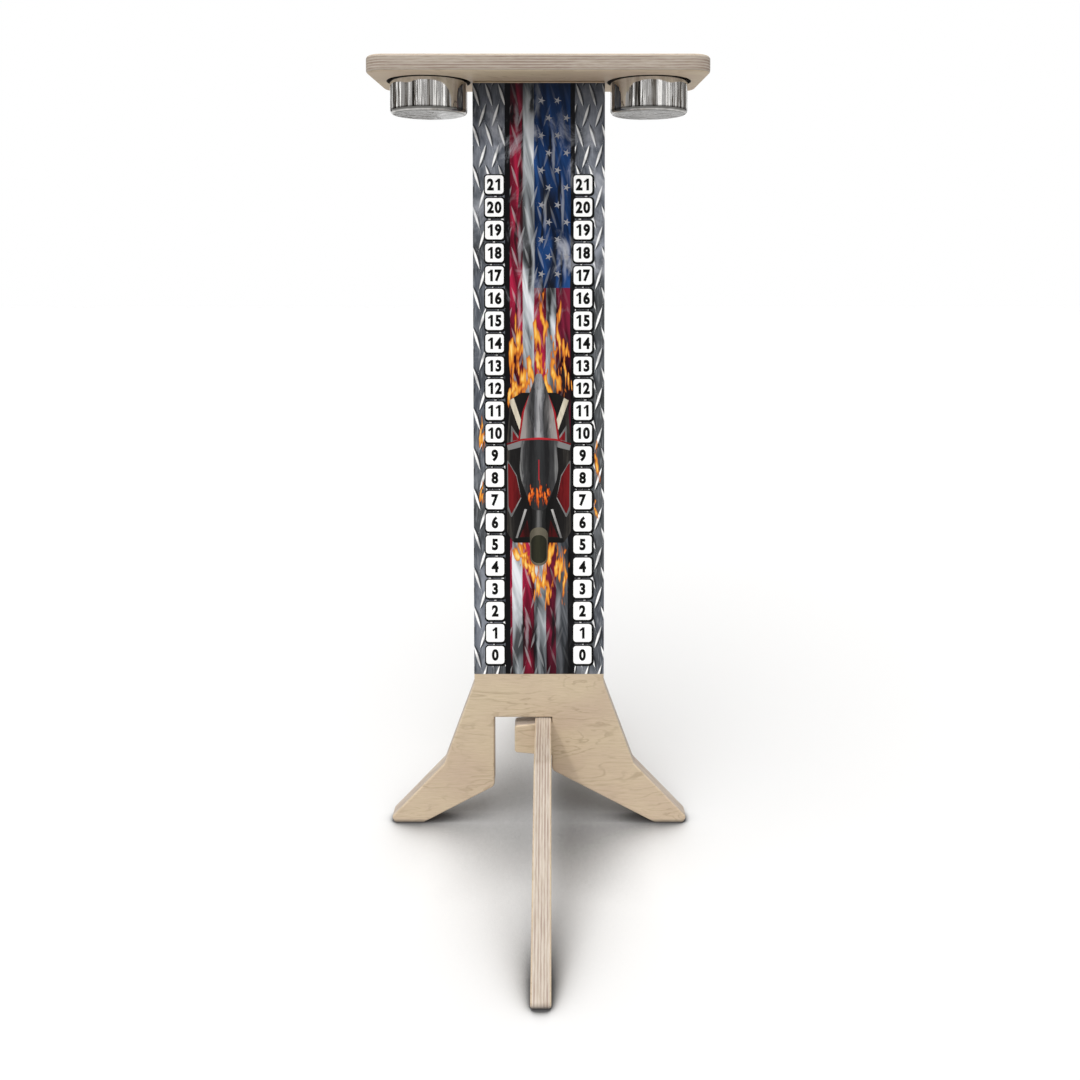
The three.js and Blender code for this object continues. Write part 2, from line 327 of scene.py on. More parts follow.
def birchPlyGroup():
    # grain along X, thickness along Z: face veneer on the outer plies, stripes on the edges
    tree, given, made = newGroup("birchPly", [("Vector", "NodeSocketVector"),
                                              ("Edge Tone", "NodeSocketFloat")],
                                 [("Color", "NodeSocketColor"), ("Roughness", "NodeSocketFloat"),
                                  ("Height", "NodeSocketFloat")])
    place = given["Vector"]
    depth = splitVector(tree, place)["Z"]
    plyPitch = plywood["thickness"] / plywood["plies"]

    # rotary-cut face: contour lines of a slow noise, fine fibres, soft patches
    slow = noiseAt(tree, stretch(tree, place, (8, 30, 8)), detail=4, roughness=0.5, distortion=0.5)
    ring = calc(tree, "PINGPONG", times(tree, slow, 24.0), 1.0)
    line = minus(tree, 1.0, smoothStep(tree, ring, 0.0, 0.40))
    lineBreak = smoothStep(tree, noiseAt(tree, stretch(tree, place, (18, 45, 18)), detail=3), 0.34, 0.66)
    figure = times(tree, line, lineBreak)
    fibre = noiseAt(tree, stretch(tree, place, (55, 1300, 300)), detail=3, roughness=0.6)
    patch = noiseAt(tree, stretch(tree, place, (7, 16, 7)), detail=4, roughness=0.6)
    pores = smoothStep(tree, noiseAt(tree, stretch(tree, place, (190, 1900, 500)), detail=1), 0.68, 0.78)
    face = blendColor(tree, smoothStep(tree, patch, 0.3, 0.72), (*plywood["faceLight"], 1),
                      (*plywood["facePink"], 1))
    face = tint(tree, face, figure, 0.50, plywood["faceDark"])
    face = tint(tree, face, smoothStep(tree, fibre, 0.3, 0.75), 0.30, plywood["faceDark"])
    face = tint(tree, face, pores, 0.35, plywood["glueLine"])

    # edges: plies that run along and across take turns, with a thin glue line between
    counted = plus(tree, calc(tree, "DIVIDE", depth, plyPitch), plywood["plies"] / 2)
    wobble = noiseAt(tree, stretch(tree, place, (18, 18, 60)), detail=4)
    counted = plus(tree, counted, times(tree, minus(tree, wobble, 0.5), 0.6))
    crossPly = smoothStep(tree, calc(tree, "PINGPONG", plus(tree, counted, 0.5), 1.0), 0.34, 0.62)
    fade = smoothStep(tree, noiseAt(tree, stretch(tree, place, (24, 24, 190)), detail=4, roughness=0.6),
                      0.34, 0.62)
    crossPly = times(tree, crossPly, plus(tree, 0.25, times(tree, fade, 0.75)))
    fromGlue = calc(tree, "ABSOLUTE", minus(tree, calc(tree, "FRACT", counted), 0.5))
    glue = smoothStep(tree, fromGlue, 0.41, 0.49)
    streak = noiseAt(tree, stretch(tree, place, (70, 70, 900)), detail=4, roughness=0.65)
    edge = blendColor(tree, crossPly, (*plywood["edgeLight"], 1), (*plywood["edgeDark"], 1))
    edge = tint(tree, edge, smoothStep(tree, streak, 0.35, 0.7), 0.4, plywood["faceDark"])
    edge = tint(tree, edge, glue, times(tree, fade, 0.7), plywood["glueLine"])
    edge = blendColor(tree, given["Edge Tone"], (0, 0, 0, 1), edge)

    inner = smoothStep(tree, calc(tree, "ABSOLUTE", depth), plywood["thickness"] / 2 - 0.85 * plyPitch,
                       plywood["thickness"] / 2 - 1.05 * plyPitch)
    tree.links.new(blendColor(tree, inner, face, edge), made.inputs["Color"])
    rough = plus(tree, 0.52, times(tree, fibre, 0.16))
    tree.links.new(plus(tree, rough, times(tree, inner, 0.08)), made.inputs["Roughness"])
    relief = minus(tree, times(tree, fibre, 0.5), times(tree, pores, 0.5))
    relief = minus(tree, relief, times(tree, times(tree, crossPly, inner), 0.8))
    tree.links.new(relief, made.inputs["Height"])
    return tree


birchPly = birchPlyGroup()


def plywoodMaterial(name, turn, place, edgeTone=1.0):
    material, tree, shader = newMaterial(name, Coat_Weight=0.12, Coat_Roughness=0.35)
    seen = useGroup(tree, birchPly, {"Vector": stretch(tree, objectPlace(tree), (1, 1, 1), place, turn),
                                     "Edge Tone": edgeTone})
    # painted shade: the colour darkens to near black over the lowest few millimetres, standing in for the
    # contact shadow under the ends that stand on the ground
    height = splitVector(tree, objectPlace(tree))["Z"]
    contactShade = times(tree, smoothStep(tree, height, 0.0055, 0.001), 0.8)
    color = blendColor(tree, contactShade, seen["Color"], (0.035, 0.03, 0.027, 1))
    tree.links.new(color, shader.inputs["Base Color"])
    tree.links.new(seen["Roughness"], shader.inputs["Roughness"])
    bumpFrom(tree, shader, seen["Height"], 0.00012, 0.6)
    return material


columnPly = plywoodMaterial("columnPly", (90, 0, 0), (0, 0, 0))
footPly = plywoodMaterial("footPly", (0, -90, -90), (0.7, 0.1, -(footLow.x + footHigh.x) / 2), 0.88)

upright = {
    "thickness": uprightHigh.y - uprightLow.y,
    "easing": 0.002,
    "columnHalf": 0.0755,
    "flareHeight": 0.167,
    "kneeHalf": 0.111,
    "kneeHeight": 0.071,
    "kneeRadius": 0.009,
    "toeTipHeight": 0.007,
    "toeTipSet": 0.0035,
    "toeRadius": 0.003,
    "toePad": 0.037,
    "archHeight": 0.126,
    "archRight": 0.0151,
    "archLeft": -0.0521,
    "archCorner": 0.007,
    "tongueTip": -0.0285,
    "tongueMiddle": 0.1,
    "tongueRootHalf": 0.0198,
    "tongueTipHalf": 0.016,
    "tongueCorner": 0.0035,
    "tongueUnderDrop": 0.0172,
}


def makeUpright():
    board = upright
    footHalf = uprightHigh.x
    toeInner = footHalf - board["toePad"]
    tongueUnder = board["tongueMiddle"] - board["tongueRootHalf"]
    slope = (tongueUnder - board["tongueUnderDrop"]) / (toeInner - board["archRight"])
    rightHalf = [
        (board["columnHalf"], uprightHigh.z, 0),
        (board["columnHalf"], board["flareHeight"], board["kneeRadius"]),
        (board["kneeHalf"], board["kneeHeight"], board["kneeRadius"]),
        (footHalf, board["toeTipHeight"], board["toeRadius"]),
        (footHalf - board["toeTipSet"], 0, board["toeRadius"]),
        (toeInner, 0, board["toeRadius"]),
    ]
    arch = [
        (board["archRight"], slope * (toeInner - board["archRight"]), board["archCorner"]),
        (board["archRight"], tongueUnder, 0),
        (board["tongueTip"], board["tongueMiddle"] - board["tongueTipHalf"], board["tongueCorner"]),
        (board["tongueTip"], board["tongueMiddle"] + board["tongueTipHalf"], board["tongueCorner"]),
        (board["archRight"], board["tongueMiddle"] + board["tongueRootHalf"], 0),
        (board["archRight"], board["archHeight"], 0),
        (board["archLeft"], board["archHeight"], 0),
        (board["archLeft"], slope * (toeInner + board["archLeft"]), board["archCorner"]),
    ]
    leftHalf = [(-x, y, radius) for x, y, radius in reversed(rightHalf)]
    bm = easedBoard(rightHalf + arch + leftHalf, board["thickness"], board["easing"])
    standUp(bm)
    piece = linkMesh("upright_board", bm, columnPly)
    evenShading(piece)
    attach(piece, "stand")
    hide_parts("upright")


makeUpright()
print("upright made")

crossFoot = {
    "thickness": footHigh.x - footLow.x,
    "easing": 0.002,
    "plateauHalf": 0.095,
    "plateauRadius": 0.009,
    "toeTipHeight": 0.007,
    "toeTipSet": 0.0035,
    "toeRadius": 0.003,
    "toePad": 0.037,
    "archRun": 0.08,
    "archHeight": 0.044,
    "mortiseGap": 0.0005,
}


def makeCrossFoot():
    foot = crossFoot
    half = footHigh.y
    toeInner = half - foot["toePad"]
    frontHalf = [
        (foot["plateauHalf"], footHigh.z, foot["plateauRadius"]),
        (half, foot["toeTipHeight"], foot["toeRadius"]),
        (half - foot["toeTipSet"], 0, foot["toeRadius"]),
        (toeInner, 0, foot["toeRadius"]),
        (toeInner - foot["archRun"], foot["archHeight"], foot["plateauRadius"]),
    ]
    backHalf = [(-x, y, radius) for x, y, radius in reversed(frontHalf)]
    bm = easedBoard(frontHalf + backHalf, foot["thickness"], foot["easing"])
    upAndAcross = Matrix(((0, 0, 1), (1, 0, 0), (0, 1, 0)))
    bmesh.ops.rotate(bm, verts=bm.verts, matrix=upAndAcross)
    bmesh.ops.translate(bm, verts=bm.verts, vec=((footLow.x + footHigh.x) / 2, 0, 0))
    piece = linkMesh("cross_foot_board", bm, footPly)

    # the mortise follows the tongue's taper
    taper = upright["tongueRootHalf"] - upright["tongueTipHalf"]
    taper /= upright["archRight"] - upright["tongueTip"]
    cutter = bmesh.new()
    bmesh.ops.create_cube(cutter, size=2)
    for vert in cutter.verts:
        x = footHigh.x + 0.005 if vert.co.x > 0 else footLow.x - 0.005
        reach = upright["tongueRootHalf"] - taper * (upright["archRight"] - x) + foot["mortiseGap"]
        vert.co = Vector((x, vert.co.y * (foot["thickness"] / 2 + foot["mortiseGap"]),
                          upright["tongueMiddle"] + vert.co.z * reach))
    cutOut(piece, cutter)
    evenShading(piece)
    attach(piece, "cross_foot")
    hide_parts("cross_foot")


makeCrossFoot()
print("cross foot made")

cup = {
    "outer": 0.044,
    "depth": 0.057,
    "wall": 0.001,
    "corner": 0.005,
    "flange": (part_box("cup_left")[1].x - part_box("cup_left")[0].x) / 2,
    "rim": 0.0015,
    "steps": 144,
}

shelf = {
    "easing": 0.0034,
    "corner": 0.022,
    "holeGap": 0.0035,
    "holeEasing": 0.0004,
    "screwHole": 0.0024,
    "headHole": 0.0045,
    "headDepth": 0.0047,
    "sink": 0.0004,
}


def steelMaterial():
    material, tree, shader = newMaterial("polishedSteel", Metallic=1.0)
    place = objectPlace(tree)
    drawn = noiseAt(tree, stretch(tree, place, (95, 95, 5)), detail=3, roughness=0.6)
    fine = noiseAt(tree, stretch(tree, place, (700, 700, 60)), detail=2)
    color = colorSteps(tree, drawn, [(0.30, (0.46, 0.445, 0.42)), (0.62, (0.80, 0.79, 0.77))])
    # painted reflection: the bottom is painted darker, and a dark band is painted on the drawn corner above
    # it, standing in for the darker reflections there
    height = minus(tree, splitVector(tree, place)["Z"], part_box("cup_left")[0].z)
    darkBottomPatches = noiseAt(tree, stretch(tree, place, (40, 40, 40)), detail=4, distortion=1.0)
    darkBottom = times(tree, smoothStep(tree, height, 0.0012, 0.0004), plus(tree, 0.55, times(tree, darkBottomPatches, 0.6)))
    color = blendColor(tree, darkBottom, color, (0.10, 0.098, 0.092, 1))
    fromDarkBand = calc(tree, "ABSOLUTE", minus(tree, height, 0.0038))
    color = tint(tree, color, smoothStep(tree, fromDarkBand, 0.0028, 0.0008), 0.85, (0.07, 0.066, 0.060))
    tree.links.new(color, shader.inputs["Base Color"])
    rough = plus(tree, 0.03, times(tree, fine, 0.05))
    tree.links.new(rough, shader.inputs["Roughness"])
    bumpFrom(tree, shader, drawn, 0.0005, 1.0)
    return material


def makeCup(side, material):
    # the outline runs from the bottom's middle, round the rolled rim and back to the floor's middle
    low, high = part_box("cup_" + side)
    centre = (low + high) / 2
    flangeUnder = high.z - 2 * cup["rim"]
    outline = [
        (0, -cup["depth"]),
        (cup["outer"], -cup["depth"]),
        (cup["outer"], 0),
        (cup["flange"] - cup["rim"], 0),
        (cup["flange"], 0),
        (cup["flange"], 2 * cup["rim"]),
        (cup["flange"] - 2 * cup["rim"], 2 * cup["rim"]),
        (cup["flange"] - 2 * cup["rim"], cup["wall"]),
        (cup["outer"] - cup["wall"], cup["wall"]),
        (cup["outer"] - cup["wall"], cup["wall"] - cup["depth"]),
        (0, cup["wall"] - cup["depth"]),
    ]
    rounding = [(1, cup["corner"]), (4, cup["rim"] * 0.98), (5, cup["rim"] * 0.98), (6, cup["rim"] * 0.98),
                (8, cup["wall"]), (9, cup["corner"] - cup["wall"])]
    bm = turnedShape(outline, cup["steps"], rounding)
    bmesh.ops.translate(bm, verts=bm.verts, vec=(centre.x, centre.y, flangeUnder))
    piece = linkMesh("drink_cup_" + side, bm, material, 40)
    evenShading(piece)
    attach(piece, "cup_" + side)
    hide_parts("cup_" + side)


polishedSteel = steelMaterial()
makeCup("left", polishedSteel)
makeCup("right", polishedSteel)
print("cups made")

cutterOver = 0.002   # how far a cutter reaches past the board


def holeCutter(radius, easing, depth, steps=96):
    # a round cutter through a board whose faces are at 0 and -depth, flared to ease both rims
    arc = [math.radians(angle) for angle in range(0, 91, 18)]
    top = [(radius + easing - easing * math.cos(angle),
            -easing + easing * math.sin(angle)) for angle in arc]
    bottom = [(x, -depth - height) for x, height in reversed(top)]
    wide = radius + easing + cutterOver
    outline = [(0, -depth - cutterOver), (wide, -depth - cutterOver), (wide, -depth)]
    outline += bottom + top + [(wide, 0), (wide, cutterOver), (0, cutterOver)]
    return turnedShape(outline, steps)


def shelfMaterial():
    # the same plywood, its edge darker as painted shade, and the walls of the cup holes painted nearly black
    # as the shade in the gap under the cups' rims
    material = plywoodMaterial("shelfPly", (0, 0, 0), (0.4, 0.3, -(shelfLow.z + shelfHigh.z) / 2), 0.80)
    tree = material.node_tree
    shader = tree.nodes["Principled BSDF"]
    seen = shader.inputs["Base Color"].links[0].from_socket
    parts = splitVector(tree, objectPlace(tree))
    low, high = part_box("cup_right")
    aside = minus(tree, calc(tree, "ABSOLUTE", parts["X"]), (low.x + high.x) / 2)
    away = addNode(tree, "ShaderNodeVectorMath", {0: joinVector(tree, aside, parts["Y"], 0.0)},
                   operation="LENGTH").outputs["Value"]
    # painted shade: the hole walls go nearly black
    radius = cup["outer"] + shelf["holeGap"]
    wall = smoothStep(tree, away, radius + 2.2 * shelf["holeEasing"], radius + shelf["holeEasing"])
    shadedHoleWalls = tint(tree, seen, wall, 0.95, (0.012, 0.010, 0.009))
    tree.links.new(shadedHoleWalls, shader.inputs["Base Color"])
    return material


def makeShelf():
    half = (shelfHigh - shelfLow) / 2
    centre = (shelfHigh + shelfLow) / 2
    corners = [(half.x, -half.y), (half.x, half.y), (-half.x, half.y), (-half.x, -half.y)]
    bm = easedBoard([(x, y, shelf["corner"]) for x, y in corners], 2 * half.z, shelf["easing"])
    bmesh.ops.translate(bm, verts=bm.verts, vec=centre)
    piece = linkMesh("top_shelf", bm, shelfMaterial())
    for side in ("left", "right"):
        low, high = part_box("cup_" + side)
        cutter = holeCutter(cup["outer"] + shelf["holeGap"], shelf["holeEasing"], 2 * half.z)
        bmesh.ops.translate(cutter, verts=cutter.verts, vec=((low.x + high.x) / 2, 0, shelfHigh.z))
        cutOut(piece, cutter)
    for number in (1, 2, 3):
        low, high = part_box(f"shelf_screw_{number}")
        outline = [(0, -2 * half.z - cutterOver), (shelf["screwHole"], -2 * half.z - cutterOver),
                   (shelf["screwHole"], -shelf["headDepth"]), (shelf["headHole"], -shelf["sink"]),
                   (shelf["headHole"], cutterOver), (0, cutterOver)]
        cutter = turnedShape(outline, 48)
        bmesh.ops.translate(cutter, verts=cutter.verts, vec=((low.x + high.x) / 2, 0, shelfHigh.z))
        cutOut(piece, cutter)
    evenShading(piece)
    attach(piece, "stand")
    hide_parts("shelf")


makeShelf()
print("shelf made")

screw = {
    "head": 0.0042,
    "shank": 0.0021,
    "headHeight": 0.004,
    "headEdge": 0.0005,
    "tip": 0.006,
    "recessSpan": 0.0046,
    "recessWidth": 0.0011,
    "recessDepth": 0.0018,
    "threadPitch": 0.0018,
    "threadRoot": 0.001575,
    "crestShare": 0.4,
    "plainShank": 0.012,
    "headBevel": 0.0002,
}


def screwMaterial():
    material, tree, shader = newMaterial("screwSteel", Metallic=1.0)
    place = objectPlace(tree)
    worn = noiseAt(tree, stretch(tree, place, (420, 420, 420)), detail=4, roughness=0.6)
    color = colorSteps(tree, worn, [(0.3, (0.52, 0.49, 0.41)), (0.7, (0.72, 0.71, 0.68))])
    tree.links.new(color, shader.inputs["Base Color"])
    tree.links.new(plus(tree, 0.24, times(tree, worn, 0.2)), shader.inputs["Roughness"])
    bumpFrom(tree, shader, worn, 0.00005)
    return material


def makeScrew(number, material):
    low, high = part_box(f"shelf_screw_{number}")
    centre = (low + high) / 2
    length = high.z - low.z
    outline = [(0, -length), (screw["threadRoot"], screw["tip"] - length)]
    turns = int((length - screw["tip"] - screw["headHeight"] - screw["plainShank"]) / screw["threadPitch"])
    for turn in range(turns):
        base = screw["tip"] - length + turn * screw["threadPitch"]
        outline += [(screw["shank"], base + screw["crestShare"] * screw["threadPitch"]),
                    (screw["threadRoot"], base + screw["threadPitch"])]
    outline += [(screw["threadRoot"], -screw["headHeight"]), (screw["head"], -screw["headEdge"]),
                (screw["head"] - screw["headBevel"], 0), (0, 0)]
    bm = turnedShape(outline, 48)
    bmesh.ops.translate(bm, verts=bm.verts, vec=(centre.x, centre.y, high.z))
    piece = linkMesh(f"countersunk_screw_{number}", bm, material)
    # one bar of the cross at a time, because a cutter that crosses itself leaves nothing of the piece
    bar = (screw["recessSpan"], screw["recessWidth"])
    for wide, narrow in (bar, bar[::-1]):
        cutter = bmesh.new()
        bmesh.ops.create_cube(cutter, size=1)
        bmesh.ops.scale(cutter, verts=cutter.verts, vec=(wide, narrow, 2 * screw["recessDepth"]))
        bmesh.ops.translate(cutter, verts=cutter.verts, vec=(centre.x, centre.y, high.z))
        cutOut(piece, cutter)
    evenShading(piece)
    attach(piece, "stand")
    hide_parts(f"shelf_screw_{number}")


screwSteel = screwMaterial()
for number in (1, 2, 3):
    makeScrew(number, screwSteel)
print("screws made")

sheet = {
    "front": uprightLow.y - 0.00016,
    "wrap": 0.0018,
    "film": 0.00012,
    "bottom": sheetLow.z,
    "top": sheetHigh.z,
    "columnHalf": upright["columnHalf"],
    "edgeCover": 0.00216,
}
ink = {"roughness": 0.46, "gloss": 0.08}


def treadPlateGroup():
    # raised bars that lean left and right in turn, over a mottled blue-grey plate
    bar = {"pitch": 0.0148, "period": 0.0465, "halfLength": 0.0138, "halfWidth": 0.0016, "lean": 17.0,
           "startX": 10.36, "startZ": 0.23}
    tree, given, made = newGroup("treadPlate", [("Vector", "NodeSocketVector")],
                                 [("Color", "NodeSocketColor"), ("Bars", "NodeSocketFloat")])
    parts = splitVector(tree, given["Vector"])
    bars = None
    shade = None
    for side, shift in ((-1, 0.0), (1, 0.5)):
        lean = math.radians(bar["lean"]) * side
        x = calc(tree, "FRACT", plus(tree, calc(tree, "DIVIDE", parts["X"], bar["pitch"]),
                                     shift + bar["startX"]))
        z = calc(tree, "FRACT", plus(tree, calc(tree, "DIVIDE", parts["Z"], bar["period"]),
                                     shift + bar["startZ"]))
        x = times(tree, minus(tree, x, 0.5), bar["pitch"])
        z = times(tree, minus(tree, z, 0.5), bar["period"])
        across = minus(tree, times(tree, x, math.cos(lean)), times(tree, z, math.sin(lean)))
        along = plus(tree, times(tree, x, math.sin(lean)), times(tree, z, math.cos(lean)))
        share = calc(tree, "DIVIDE", along, bar["halfLength"])
        swell = calc(tree, "MAXIMUM", minus(tree, 1.0, times(tree, share, share)), 0.02)
        reach = calc(tree, "DIVIDE", calc(tree, "ABSOLUTE", across), times(tree, swell, bar["halfWidth"]))
        lit = minus(tree, 1.0, smoothStep(tree, reach, 0.45, 1.15))
        aside = calc(tree, "ABSOLUTE", minus(tree, across, 0.0012))
        low = calc(tree, "DIVIDE", aside, times(tree, swell, bar["halfWidth"] * 1.7))
        dark = minus(tree, 1.0, smoothStep(tree, low, 0.4, 1.5))
        bars = lit if bars is None else calc(tree, "MAXIMUM", bars, lit)
        shade = dark if shade is None else calc(tree, "MAXIMUM", shade, dark)
    worn = smoothStep(tree, noiseAt(tree, stretch(tree, given["Vector"], (60, 1, 50)), detail=3), 0.3, 0.55)
    bars = times(tree, bars, plus(tree, 0.45, times(tree, 0.55, worn)))
    mottle = noiseAt(tree, stretch(tree, given["Vector"], (24, 1, 15)), detail=6, roughness=0.62,
                     distortion=0.8)
    color = colorSteps(tree, mottle, [(0.30, (0.030, 0.034, 0.042)), (0.50, (0.095, 0.106, 0.130)),
                                      (0.72, (0.30, 0.32, 0.37))])
    stain = smoothStep(tree, noiseAt(tree, stretch(tree, given["Vector"], (5, 1, 4), (3.3, 0, 1.2)),
                                     detail=2), 0.42, 0.62)
    color = tint(tree, color, stain, 0.55, (0.060, 0.061, 0.052))
    scratch = noiseAt(tree, stretch(tree, given["Vector"], (600, 1, 60), (0, 0, 0), (0, 28, 0)), detail=2)
    color = tint(tree, color, smoothStep(tree, scratch, 0.5, 0.75), 0.35, (0.45, 0.47, 0.50))
    color = tint(tree, color, shade, 0.82, (0.012, 0.013, 0.017))
    tree.links.new(blendColor(tree, bars, color, (1.0, 1.0, 1.0, 1)), made.inputs["Color"])
    tree.links.new(bars, made.inputs["Bars"])
    return tree


def flameGroup():
    # one tongue of fire about the origin, one unit wide and high, pointing up
    tree, given, made = newGroup("flame", [("Vector", "NodeSocketVector")],
                                 [("Color", "NodeSocketColor"), ("Mask", "NodeSocketFloat")])
    parts = splitVector(tree, given["Vector"])
    sway = noiseAt(tree, stretch(tree, given["Vector"], (0.9, 0.9, 1.3)), detail=2)
    x = plus(tree, parts["X"], times(tree, minus(tree, sway, 0.5), 3.4))
    x = times(tree, x, plus(tree, 1.25, times(tree, parts["Z"], 0.85)))
    away = addNode(tree, "ShaderNodeVectorMath", {0: joinVector(tree, x, 0.0, parts["Z"])},
                   operation="LENGTH").outputs["Value"]
    body = minus(tree, 1.0, away)
    lick = noiseAt(tree, stretch(tree, given["Vector"], (1.5, 1.5, 0.9)), detail=1, distortion=1.4)
    heat = plus(tree, body, times(tree, minus(tree, lick, 0.60), 2.0))
    tree.links.new(colorSteps(tree, heat, [(0.10, (0.22, 0.04, 0.01)), (0.34, (0.62, 0.17, 0.02)),
                                           (0.62, (0.84, 0.43, 0.06)), (1.0, (0.92, 0.74, 0.30))]),
                   made.inputs["Color"])
    tree.links.new(smoothStep(tree, heat, 0.12, 0.34), made.inputs["Mask"])
    return tree


treadPlate = treadPlateGroup()
flame = flameGroup()


def fireAt(tree, place, x, z, wide, high, lean):
    # each fire reads its own part of the noise
    return useGroup(tree, flame, {"Vector": framed(tree, place, x, z, wide, high, lean, 10 * x + z)})


def stripeStops(borders):
    # colour steps over the sheet's width from (left border in metres from the middle, colour) pairs
    width = 2 * sheet["columnHalf"]
    return [(max(0.0, (left + sheet["columnHalf"]) / width), color) for left, color in borders]


flag = {
    "red": (0.175, 0.007, 0.025),
    "darkRed": (0.085, 0.006, 0.018),
    "white": (0.34, 0.365, 0.38),
    "blue": (0.0075, 0.031, 0.105),
    "black": (0.004, 0.004, 0.005),
    "slate": (0.06, 0.065, 0.072),
    "cantonBottom": 0.629,
    "lowerTop": 0.40,
    "left": -0.0389,
    "right": 0.0414,
}

flames = [   # centre x, centre z, half width, half height (less than 0 points down), lean in degrees
    (0.004, 0.590, 0.010, 0.040, 6), (0.024, 0.568, 0.008, 0.046, 8), (-0.026, 0.566, 0.009, 0.044, -4),
    (-0.002, 0.541, 0.011, 0.034, -6), (0.018, 0.527, 0.012, 0.036, 4), (-0.021, 0.520, 0.012, 0.034, 10),
    (0.031, 0.533, 0.006, 0.034, -3), (-0.031, 0.512, 0.006, 0.026, 4), (-0.020, 0.316, 0.010, -0.024, -14),
    (0.020, 0.308, 0.010, -0.034, 8), (-0.003, 0.286, 0.008, -0.034, 12), (0.009, 0.276, 0.006, -0.032, 16),
    (0.029, 0.290, 0.006, -0.036, 6), (-0.012, 0.304, 0.006, -0.020, -4), (-0.066, 0.462, 0.006, 0.026, 10),
    (0.067, 0.426, 0.006, 0.032, -8), (-0.066, 0.392, 0.005, 0.018, 0), (0.066, 0.370, 0.004, 0.018, 6),
]

folds = [   # centre x, centre z, half length, half width, lean in degrees
    (-0.0213, 0.744, 0.038, 0.0032, 22.7), (-0.0070, 0.845, 0.026, 0.0036, 2),
    (-0.030, 0.828, 0.020, 0.0030, -8), (-0.0185, 0.800, 0.040, 0.0016, 3),
    (0.013, 0.790, 0.030, 0.0024, -7), (0.024, 0.742, 0.036, 0.0022, -18),
    (-0.026, 0.690, 0.030, 0.0026, -16), (0.004, 0.700, 0.026, 0.0022, 20),
    (-0.0100, 0.650, 0.032, 0.0024, 12), (0.026, 0.650, 0.030, 0.0026, 14),
    (-0.026, 0.600, 0.030, 0.0022, 6), (0.012, 0.600, 0.030, 0.0026, -10),
    (-0.018, 0.235, 0.026, 0.0026, -10), (0.017, 0.232, 0.030, 0.0036, 24),
    (-0.004, 0.215, 0.024, 0.0022, 8),
]


def clothFoldGroup():
    # one crease about the origin, one unit wide and long: a dark valley with a lit ridge at its right
    tree, given, made = newGroup("clothFold", [("Vector", "NodeSocketVector")],
                                 [("Dark", "NodeSocketFloat"), ("Light", "NodeSocketFloat")])
    parts = splitVector(tree, given["Vector"])
    bend = noiseAt(tree, stretch(tree, given["Vector"], (0.3, 1, 1.6)), detail=3)
    x = plus(tree, parts["X"], times(tree, minus(tree, bend, 0.5), 3.0))
    fade = smoothStep(tree, calc(tree, "ABSOLUTE", parts["Z"]), 1.0, 0.35)
    valley = smoothStep(tree, calc(tree, "ABSOLUTE", x), 1.0, 0.1)
    ridge = smoothStep(tree, calc(tree, "ABSOLUTE", minus(tree, x, 1.6)), 1.1, 0.1)
    tree.links.new(times(tree, valley, fade), made.inputs["Dark"])
    tree.links.new(times(tree, ridge, fade), made.inputs["Light"])
    return tree


clothFold = clothFoldGroup()


